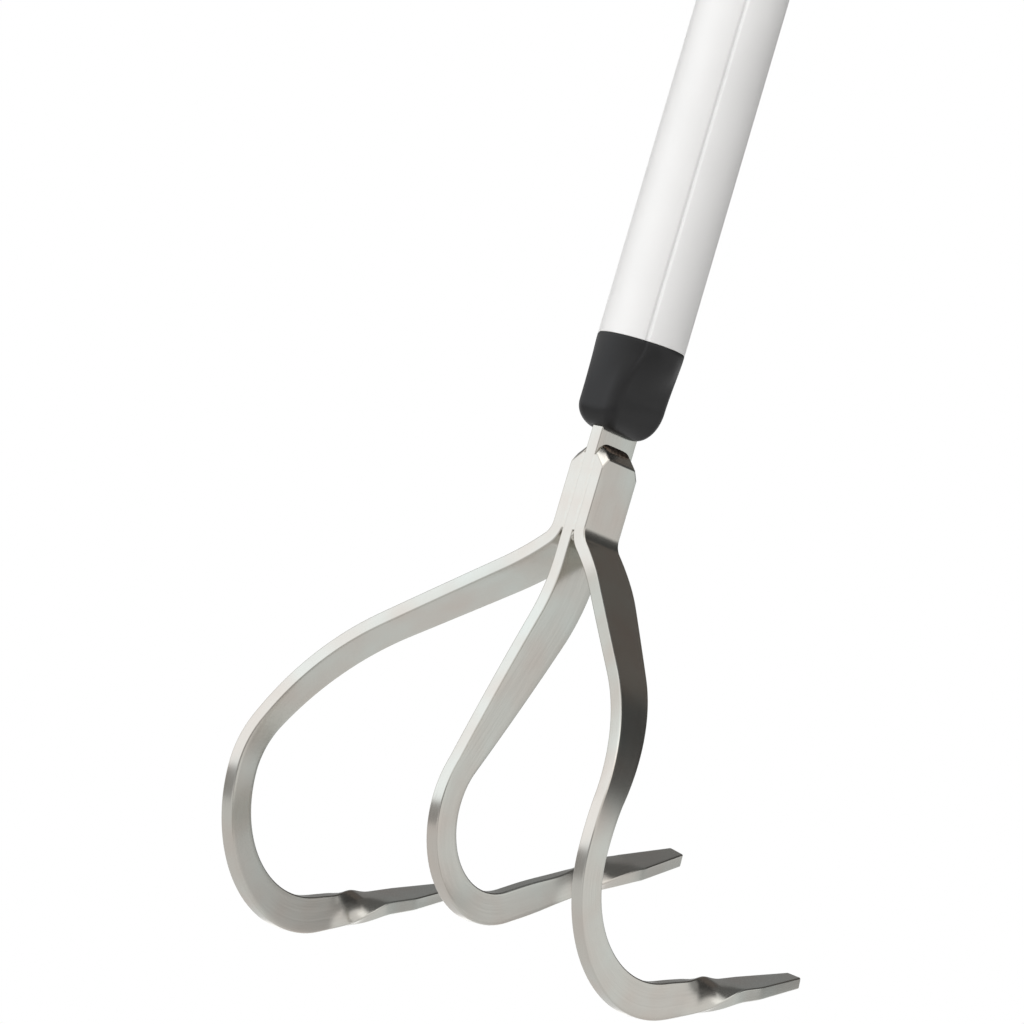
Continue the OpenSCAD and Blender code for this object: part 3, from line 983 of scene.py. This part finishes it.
def tang_slot():
    """A block that fills the tang's slot and sticks out below the ferrule."""
    low = tube_foot - (FERRULE_LEN + SLOT_PAST) * MM
    high = tang_top + SLIP * MM
    bpy.ops.mesh.primitive_cube_add(size=1, location=(0, 0, (low + high) / 2))
    block = bpy.context.object
    block.scale = ((BAR_T + 2 * SLIP) * MM, (NECK_W + 2 * SLIP) * MM, high - low)
    bpy.ops.object.transform_apply(location=True, rotation=True, scale=True)
    return block


ferrule = grow_rings(
    "moulded_ferrule", nose_rings(tube_foot, -1, SPIGOT_LEN, FERRULE_LEN, FERRULE_ROUNDS, ferrule_tab)
)
finish_edit(ferrule)
cut_away(ferrule, tang_slot())
drill(ferrule, PIN_R * MM, (0, 0, pin_z), "X", PIN_HOLE_LEN)
drill(ferrule, SCREW_RADIUS * MM, (0, LOBE_R * MM, screw_z), "Y", SCREW_HOLE_LEN)
smooth_flats(ferrule)
settle(ferrule, "ferrule", nylon)

# %% [markdown]
# ## End cap
# The upper moulding has the same nose with a wider tab, and a hole to hang the tool by. The hole's rim is
# round, as a moulded hole's is: its cutter is a plug that flares at both faces of the tab, grown from a
# circle by extruding and scaling its end.

# %% End cap
CAP_LEN = 54.0
CAP_ROUNDS = (12.0, 12.0)
CAP_SPIGOT = 42.0
TAB_HALF_X = 14.5
TAB_HALF_Y = 8.0
CAP_CORNER = 6.0
HANG_R = 4.5
HANG_RIM = 1.6
RIM_STEPS = 8
CORE_PAST = 1.0
CORE_SIDES = 128


def cap_tab(angle):
    """Outline of the hanging tab."""
    return tab(angle, TAB_HALF_X, TAB_HALF_Y, CAP_CORNER)


def turned_blank(name, sides, place, profile):
    """Grow a round solid along Y. Its profile pairs distances from a place with radii, in millimetres."""
    x, y, z = place
    first, first_r = profile[0]
    bpy.ops.mesh.primitive_circle_add(
        vertices=sides, radius=first_r * MM, fill_type="NGON", rotation=(math.pi / 2, 0, 0),
        location=(x, y + first * MM, z),
    )
    blank = start_piece(name)
    bpy.ops.mesh.select_all(action="SELECT")
    for (last, last_r), (here, r) in zip(profile, profile[1:]):
        bpy.ops.mesh.extrude_region_move(TRANSFORM_OT_translate={"value": (0, (here - last) * MM, 0)})
        centre = (x, y + here * MM, z)
        bpy.ops.transform.resize(value=(r / last_r, 1, r / last_r), center_override=centre)
    return blank


def hole_core():
    """The plug that cuts the hanging hole, whose two ends flare out by a round rim."""
    turns = [math.pi / 2 * i / RIM_STEPS for i in range(RIM_STEPS + 1)]
    wide = HANG_R + HANG_RIM
    inner = TAB_HALF_Y - HANG_RIM
    flare = [(inner + HANG_RIM * math.sin(t), HANG_R + HANG_RIM * (1 - math.cos(t))) for t in turns]
    profile = [(-TAB_HALF_Y - CORE_PAST, wide)] + [(-y, r) for y, r in reversed(flare)]
    profile += flare + [(TAB_HALF_Y + CORE_PAST, wide)]
    core = turned_blank("hanging_hole_core", CORE_SIDES, (0, 0, 0), profile)
    finish_edit(core)
    return core


cap = grow_rings(
    "moulded_end_cap", nose_rings(tube_head, 1, CAP_SPIGOT, CAP_LEN, CAP_ROUNDS, cap_tab)
)
finish_edit(cap)
cut_away(cap, hole_core())
smooth_flats(cap)
settle(cap, "end_cap", nylon)

# %% [markdown]
# ## Ferrule screw
# A small pan head screw through the front of the tube holds the ferrule. Head and shank are turned from
# one circle along the screw's line, and two tapered blocks cut the cross recess.

# %% Ferrule screw
SCREW_LEN = 13.0
SCREW_POINT = 2.0
SCREW_TIP_R = 0.6
SCREW_SIDES = 64
HEAD_R = 4.0
HEAD_H = 2.4
HEAD_EDGE = 0.2
DOME_R = 8.0
DOME_STEPS = 10
RECESS_W = 1.0
RECESS_DEPTH = 1.4
RECESS_TAPER = 0.6


def head_profile():
    """Height and radius pairs from the screw's tip to the top of its head, in millimetres."""
    dome_from = math.sqrt(DOME_R ** 2 - HEAD_R ** 2) - (DOME_R - HEAD_H)
    turns = [math.pi / 2 * i / DOME_STEPS for i in range(DOME_STEPS)]
    heights = [dome_from + (HEAD_H - dome_from) * math.sin(turn) for turn in turns]
    dome = [(h, math.sqrt(DOME_R ** 2 - (h + DOME_R - HEAD_H) ** 2)) for h in heights]
    shank = [(-SCREW_LEN, SCREW_TIP_R), (-SCREW_LEN + SCREW_POINT, SCREW_RADIUS), (0, SCREW_RADIUS)]
    return shank + [(0, HEAD_R - HEAD_EDGE), (HEAD_EDGE, HEAD_R)] + dome


def cross_cutter(turn, top):
    """One arm of the cross recess: a block that narrows towards its bottom."""
    bpy.ops.mesh.primitive_cube_add(size=1, location=(0, top, screw_z))
    block = start_piece("recess_arm")
    bpy.ops.mesh.select_all(action="SELECT")
    middle_of_block = (0, top, screw_z)
    arm = (HEAD_R * MM, 2 * RECESS_DEPTH * MM, RECESS_W * MM)
    bpy.ops.transform.resize(value=arm, center_override=middle_of_block)
    turn_picked(turn, "Y", middle_of_block)
    pick_points(block, lambda point: point.co.y < top)
    bpy.ops.transform.resize(value=(RECESS_TAPER, 1, RECESS_TAPER), center_override=middle_of_block)
    finish_edit(block)
    return block


seat = screw_high.y - HEAD_H * MM
screw = turned_blank("pan_head_screw", SCREW_SIDES, (0, seat, screw_z), head_profile())
finish_edit(screw)
for turn in (0, math.pi / 2):
    cut_away(screw, cross_cutter(turn, screw_high.y))
smooth_flats(screw)
settle(screw, "ferrule_screw", zinc)

# %% [markdown]
# ## Welds
# The seams of the neck were filled and ground flush on both edges, so only a faint strip shows. Each
# strip is a thin wedge in the groove between two bars. One is modelled, and the other three are copies,
# each with its own mesh, mirrored about the neck. A mirror turns the faces inside out, so their normals
# are made consistent again.

# %% Ground seam welds
SEAM_LOW = -2.0
SEAM_HIGH = 26.0
SEAM_W = 1.5
SEAM_DEEP = 0.7
SEAM_FOOT = (0.1, 1, 0.98)
SEAM_ROUND = 0.05
PROUD = 0.02
WELD_SMOOTH = 60


def mirrored_copy(piece, name, flip):
    """Copy a piece with its own mesh, mirrored about the middle of the neck."""
    bpy.ops.object.select_all(action="DESELECT")
    piece.select_set(True)
    bpy.context.view_layer.objects.active = piece
    bpy.ops.object.duplicate(linked=False)
    copy = start_piece(name)
    bpy.ops.mesh.select_all(action="SELECT")
    bpy.ops.transform.resize(value=flip, center_override=(0, 0, 0))
    finish_edit(copy)
    return copy


def seam_strip(name):
    """A ground weld along the joint of the right and middle bars, on the rear edge of the neck."""
    face = -(NECK_W / 2 + PROUD) * MM
    middle_z = split + (SEAM_LOW + SEAM_HIGH) / 2 * MM
    centre = (BAR_T / 2 * MM, face, middle_z)
    bpy.ops.mesh.primitive_plane_add(size=1, location=centre, rotation=(math.pi / 2, 0, 0))
    strip = start_piece(name)
    bpy.ops.mesh.select_all(action="SELECT")
    size = (SEAM_W * MM, 1, (SEAM_HIGH - SEAM_LOW) * MM)
    bpy.ops.transform.resize(value=size, center_override=centre)
    bpy.ops.mesh.extrude_region_move(TRANSFORM_OT_translate={"value": (0, SEAM_DEEP * MM, 0)})
    bpy.ops.transform.resize(value=SEAM_FOOT, center_override=centre)
    bpy.ops.mesh.select_all(action="SELECT")
    bpy.ops.mesh.normals_make_consistent(inside=False)
    bpy.ops.mesh.select_mode(type="EDGE")
    bpy.ops.mesh.bevel(offset=SEAM_ROUND * MM, segments=EDGE_FACES, affect="EDGES", clamp_overlap=True)
    finish_edit(strip, WELD_SMOOTH)
    return strip


rear_right = seam_strip("ground_right_rear_seam")
seams = {
    "right_rear_seam_weld": rear_right,
    "left_rear_seam_weld": mirrored_copy(rear_right, "ground_left_rear_seam", (-1, 1, 1)),
    "right_front_seam_weld": mirrored_copy(rear_right, "ground_right_front_seam", (1, -1, 1)),
    "left_front_seam_weld": mirrored_copy(rear_right, "ground_left_front_seam", (-1, -1, 1)),
}
for node, strip in seams.items():
    settle(strip, node, ground_weld)

# %% [markdown]
# A bead is a row of small puddles, each frozen over the last, so its section swells and falls along its
# length. It is turned from a circle, each ring scaled to the puddle at that place and tapered towards
# both ends, and then made oval and tilted. The two beads on top of the side bars were left as laid, and
# the heat shows on them. The two small ones in the narrow gaps where the bars part are ground bright.

# %% Weld beads
RIPPLE = 1.7
RIPPLE_DEPTH = 0.06
THIN_END = 0.02
BEAD_STEP = 0.13
BEAD_SIDES = 28


def puddle(place, half, blunt):
    """Size of the bead at a place along it, from 0 to 1: round or blunt ends, and a ripple all along."""
    end = math.sqrt(max(THIN_END, 1 - (place / half) ** blunt))
    phase = (place / RIPPLE) % 1
    return end * (1 - RIPPLE_DEPTH * phase ** 2)


def laid_bead(name, across, above, half_x, half_z, length, tilt, blunt):
    """A bead along Y, placed from the neck's middle and the split, with an oval section and a tilt."""
    half = length / 2
    count = round(length / BEAD_STEP)
    places = [-half + length * i / count for i in range(count + 1)]
    centre = (across * MM, 0, split + above * MM)
    bead = turned_blank(name, BEAD_SIDES, centre, [(y, puddle(y, half, blunt)) for y in places])
    bpy.ops.mesh.select_all(action="SELECT")
    bpy.ops.transform.resize(value=(half_x, 1, half_z), center_override=centre)
    turn_picked(math.radians(tilt), "Y", centre)
    finish_edit(bead, WELD_SMOOTH)
    return bead


right_top = laid_bead(
    "laid_right_top_bead", across=2.9, above=29.5, half_x=2.1, half_z=1.2, length=14.6, tilt=40, blunt=6
)
left_top = mirrored_copy(right_top, "laid_left_top_bead", (-1, 1, 1))
settle(right_top, "right_top_weld", burnt_weld)
settle(left_top, "left_top_weld", burnt_weld)
right_crotch = laid_bead(
    "laid_right_crotch_bead", across=2.8, above=-3.7, half_x=0.9, half_z=2.1, length=21.1, tilt=6, blunt=14
)
left_crotch = laid_bead(
    "laid_left_crotch_bead", across=-2.6, above=-2, half_x=0.75, half_z=1.4, length=21.1, tilt=-4, blunt=14
)
settle(right_crotch, "right_crotch_weld", ground_weld)
settle(left_crotch, "left_crotch_weld", ground_weld)

# %% [markdown]
# ## Pin
# The spring pin that holds the tang is hidden inside the handle. Its solid is already right, so it stays
# and only gets its finish.

# %% Finish of the hidden pin
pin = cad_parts["tang_pin"]
pin.data.materials.clear()
pin.data.materials.append(spring_steel)
print(pin.name, "keeps its solid, in", spring_steel.name)

# %% [markdown]
# ## Studio
# The tool hangs by its end cap over a plain pale floor, in a white surround. The camera and the
# reflections see the surround as white, while matt surfaces get less from it, so that the white handle
# does not wash out. Reflections see the floor at a steady level. In the picture it keeps its shade near
# the tool and fades to white away from it, so that no view shows where it ends.

# %% Floor and world
FLOOR_SIZE = 14.0
FLOOR_DROP = 0.23
FLOOR_IN_STEEL = 0.86
FLOOR_SHADED = 0.3
FLOOR_WHITE = 1.4
FLOOR_PALE = 0.5
SURROUND = 0.36


def pale_floor():
    """Matt floor paint that fades to white in the picture, and that reflections see at a steady level."""
    material, tree, shader = start_material("pale_floor_paint")
    shader.inputs["Base Color"].default_value = screen_colour("#EAE7E2")
    shader.inputs["Roughness"].default_value = 0.8
    path = add_node(tree, "ShaderNodeLightPath")
    spot = add_node(tree, "ShaderNodeTexCoord")
    away = add_node(tree, "ShaderNodeVectorMath", {0: spot.outputs["Object"]}, operation="LENGTH")
    far = add_node(
        tree, "ShaderNodeMapRange",
        {
            "Value": away.outputs["Value"], "From Min": FLOOR_SHADED, "From Max": FLOOR_WHITE,
            "To Min": FLOOR_PALE,
        },
        interpolation_type="SMOOTHSTEP",
    )
    far_in_picture = add_node(
        tree, "ShaderNodeMath", {0: far.outputs[0], 1: path.outputs["Is Camera Ray"]}, operation="MULTIPLY"
    )
    white = add_node(tree, "ShaderNodeEmission", {"Strength": 1.0})
    sweep = add_node(
        tree, "ShaderNodeMixShader",
        {0: far_in_picture.outputs[0], 1: shader.outputs["BSDF"], 2: white.outputs["Emission"]},
    )
    glow = add_node(tree, "ShaderNodeEmission", {"Strength": FLOOR_IN_STEEL})
    either = add_node(
        tree, "ShaderNodeMixShader",
        {0: path.outputs["Is Glossy Ray"], 1: sweep.outputs["Shader"], 2: glow.outputs["Emission"]},
    )
    tree.links.new(either.outputs["Shader"], tree.nodes["Material Output"].inputs["Surface"])
    return material


floor_z = cad_low.z - FLOOR_DROP
bpy.ops.mesh.primitive_plane_add(size=FLOOR_SIZE, location=(0, 0, floor_z))
floor = bpy.context.object
floor.name = "pale_floor"
floor.data.materials.append(pale_floor())
floor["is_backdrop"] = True

world = bpy.data.worlds.new("white_surround")
bpy.context.scene.world = world
world.use_nodes = True
air = world.node_tree
air.nodes.clear()
path = add_node(air, "ShaderNodeLightPath")
camera_or_glossy = add_node(
    air, "ShaderNodeMath",
    {0: path.outputs["Is Camera Ray"], 1: path.outputs["Is Glossy Ray"]}, operation="MAXIMUM",
)
seen = add_node(
    air, "ShaderNodeMath",
    {0: camera_or_glossy.outputs[0], 1: path.outputs["Is Transmission Ray"]}, operation="MAXIMUM",
)
level = add_node(air, "ShaderNodeMapRange", {"Value": seen.outputs[0], "To Min": SURROUND, "To Max": 1.0})
backdrop = add_node(
    air, "ShaderNodeBackground", {"Color": (1, 1, 1, 1), "Strength": level.outputs["Result"]}
)
add_node(air, "ShaderNodeOutputWorld", {"Surface": backdrop.outputs["Background"]})
print("floor at", round(floor_z / MM), "mm")

# %% [markdown]
# Polished steel shows what stands round it, so cards with soft edges stand round the tool, as on a
# photographer's table. Only reflections see them. Each is placed by the direction in which the tines see
# it: an azimuth from straight ahead of the tips, turning to the right, and an elevation.
#
# Behind the tool, as the camera sees it, dark cards stand above the horizon: the upper outer face of the
# right tine leans back and mirrors them, while the faces that stand upright look past their lower edges.
# A part of them is slightly paler and warm. A grey card to their left gives the tops of the blades their
# tone, and a paler one stands below them. In front, a bright card that is a little cool lights the rear
# edges of the bars, with a dim one below it. A small grey card stands near the left hook, and a bright one
# low on the left. One stands behind the camera, two bright ones hang high, and a dark one lies overhead.

# %% Cards that the steel mirrors
HOOKS_BELOW = 90.0
hooks = Vector((0, 0, split - HOOKS_BELOW * MM))


def direction(azimuth, elevation):
    """Unit vector towards an azimuth and an elevation in degrees."""
    a = math.radians(azimuth)
    e = math.radians(elevation)
    return Vector((math.sin(a) * math.cos(e), math.cos(a) * math.cos(e), math.sin(e)))


def card_glow(name, radiance, margins, colour):
    """Even glow that fades out over the margins of a card: left, right, low and high, as shares of it."""
    left, right, low, high = margins
    material = bpy.data.materials.new(name)
    material.use_nodes = True
    tree = material.node_tree
    tree.nodes.clear()
    place = add_node(tree, "ShaderNodeTexCoord")
    axes = add_node(tree, "ShaderNodeSeparateXYZ", {0: place.outputs["UV"]})
    shown = 1.0
    for axis, edge, full in (("X", 0, left), ("X", 1, 1 - right), ("Y", 0, low), ("Y", 1, 1 - high)):
        fade = add_node(
            tree, "ShaderNodeMapRange", {"Value": axes.outputs[axis], "From Min": edge, "From Max": full},
            interpolation_type="SMOOTHSTEP",
        )
        product = add_node(tree, "ShaderNodeMath", {0: fade.outputs[0], 1: shown}, operation="MULTIPLY")
        shown = product.outputs[0]
    clear = add_node(tree, "ShaderNodeBsdfTransparent")
    glow = add_node(tree, "ShaderNodeEmission", {"Color": screen_colour(colour), "Strength": radiance})
    either = add_node(tree, "ShaderNodeMixShader", {0: shown, 1: clear.outputs[0], 2: glow.outputs[0]})
    add_node(tree, "ShaderNodeOutputMaterial", {"Surface": either.outputs[0]})
    return material


def hang_card(name, radiance, centre, turn, size, margins, colour="#FFFFFF"):
    """A card that only reflections see."""
    bpy.ops.mesh.primitive_plane_add(size=1, location=centre, rotation=turn)
    made = bpy.context.object
    made.name = name
    made.scale = (*size, 1)
    made.visible_camera = False
    made.visible_diffuse = False
    made.visible_shadow = False
    made.data.materials.append(card_glow(name + "_glow", radiance, margins, colour))
    made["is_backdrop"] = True


def card(name, radiance, away, azimuths, elevations, fades, colour="#FFFFFF"):
    """An upright card over a range of azimuths and elevations, with a fade in degrees at each edge."""
    middle_azimuth = sum(azimuths) / 2
    half_turn = (azimuths[1] - azimuths[0]) / 2

    def reach(angle):
        return away * math.tan(math.radians(angle))

    wide = 2 * reach(half_turn)
    low_edge = reach(elevations[0])
    high_edge = reach(elevations[1])
    tall = high_edge - low_edge
    margins = [
        (reach(half_turn) - reach(half_turn - fades[0])) / wide,
        (reach(half_turn) - reach(half_turn - fades[1])) / wide,
        (reach(elevations[0] + fades[2]) - low_edge) / tall,
        (high_edge - reach(elevations[1] - fades[3])) / tall,
    ]
    centre = hooks + away * direction(middle_azimuth, 0) + Vector((0, 0, (low_edge + high_edge) / 2))
    turn = (math.pi / 2, 0, -math.radians(middle_azimuth))
    hang_card(name, radiance, centre, turn, (wide, tall), margins, colour)


card("dark_card_behind", 0.07, 2.0, (-30, 45), (4, 70), (12, 20, 13, 8))
card("dim_card_behind", 0.14, 1.9, (-24, 8), (16, 62), (8, 4, 6, 8), "#FFF3EA")
card("dark_card_behind_right", 0.13, 2.1, (18, 66), (11, 70), (8, 16, 13, 8))
card("grey_card_behind_left", 0.27, 2.2, (-95, -5), (3, 70), (18, 5, 13, 8))
card("low_card_behind", 0.56, 1.1, (-20, 41), (-15, 2), (12, 6, 4, 5))
card("bright_card_in_front", 1.58, 2.4, (-190, -112), (-5, 56), (33, 12, 4, 12), "#F8FBFF")
card("dim_card_in_front", 0.43, 0.7, (-205, -95), (-23, -1), (20, 20, 3, 4))
card("grey_card_near_left_hook", 0.36, 0.5, (18, 38), (-9, 16), (5, 4, 4, 5))
card("bright_card_low_left", 1.5, 0.6, (-62, -4), (-26, -9), (14, 14, 4, 4))
card("card_behind_camera", 0.4, 1.0, (86, 162), (-17, 18), (14, 14, 7, 8))
card("bright_card_high_behind_camera", 2.3, 1.2, (124, 190), (50, 74), (12, 14, 6, 6))
card("bright_card_high_right", 1.55, 1.2, (62, 122), (44, 72), (14, 10, 8, 6))
overhead = hooks + Vector((-0.35, 0.45, 1.62))
hang_card("dark_card_above", 0.14, overhead, (0, 0, 0), (1.8, 1.8), (0.1, 0.18, 0.18, 0.1))
print("cards stand round a place", round(-hooks.z / MM), "mm below the hanging hole")

# %% [markdown]
# The matt surfaces, the white handle above all, are lit by three large soft lights: one to the front left,
# a weaker one near the camera, and the weakest behind the tool. The steel has its cards, so reflections
# do not see these lights.

# %% Soft lights for the matt surfaces
LIGHT_WIDTH = 2.6
LIGHT_AWAY = 2.2


def soft_light(name, radiance, azimuth, elevation):
    """A large square light that faces the tool."""
    data = bpy.data.lights.new(name, "AREA")
    data.size = LIGHT_WIDTH
    data.energy = radiance * math.pi * LIGHT_WIDTH ** 2
    lamp = bpy.data.objects.new(name, data)
    bpy.context.scene.collection.objects.link(lamp)
    towards = direction(azimuth, elevation)
    lamp.location = hooks + LIGHT_AWAY * towards
    lamp.rotation_euler = towards.to_track_quat("Z", "Y").to_euler()
    lamp.visible_glossy = False
    print(name, "of", round(data.energy), "W at", [round(v, 2) for v in lamp.location])


soft_light("key_light", 1.25, -165, 22)
soft_light("fill_light", 0.93, 130, 12)
soft_light("back_light", 0.65, -30, 25)

# %% [markdown]
# ## Camera
# The picture was taken with a long lens from the right and the rear of the tool, a little below its neck,
# and the tool leans to the right in it. The camera's own axes are worked out from the three angles, and
# its place from the distance and from where the split lies in the picture.

# %% Camera
AZIMUTH = math.radians(40)
ELEVATION = math.radians(-5.527)
ROLL = math.radians(16.468)
DISTANCE = 3.5
VIEW_WIDTH = 364.09 * MM
AIM_BELOW_SPLIT = 5 * MM
AIM_RIGHT = 25.07 * MM
AIM_DOWN = 11.32 * MM
SENSOR = 36.0
back = Vector((
    math.sin(AZIMUTH) * math.cos(ELEVATION), -math.cos(AZIMUTH) * math.cos(ELEVATION), math.sin(ELEVATION)
))
level_right = Vector((math.cos(AZIMUTH), math.sin(AZIMUTH), 0))
level_up = back.cross(level_right)
right = math.cos(ROLL) * level_right + math.sin(ROLL) * level_up
up = math.cos(ROLL) * level_up - math.sin(ROLL) * level_right
aim = Vector((0, 0, split - AIM_BELOW_SPLIT))
place = aim + DISTANCE * back - AIM_RIGHT * right + AIM_DOWN * up
camera_data = bpy.data.cameras.new("camera")
camera_data.sensor_width = SENSOR
camera_data.lens = SENSOR * DISTANCE / VIEW_WIDTH
camera_data.clip_end = 100
camera = bpy.data.objects.new("camera", camera_data)
bpy.context.scene.collection.objects.link(camera)
camera.matrix_world = Matrix((right, up, back)).transposed().to_4x4()
camera.location = place
bpy.context.scene.camera = camera
bpy.context.scene.view_settings.view_transform = "Standard"
print("camera at", [round(v, 3) for v in place], "lens", round(camera_data.lens, 1), "mm")

# %% [markdown]
# ## Size and finish
# The box of the solids and the box of the finished model are put side by side, and the size of the model
# is printed.

# %% Put the sizes side by side, and finish
low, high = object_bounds()
sizes = {"cad": [list(cad_low), list(cad_high)], "visual": [list(low), list(high)]}
print("visual box in mm:", [round(v / MM, 1) for v in high - low])
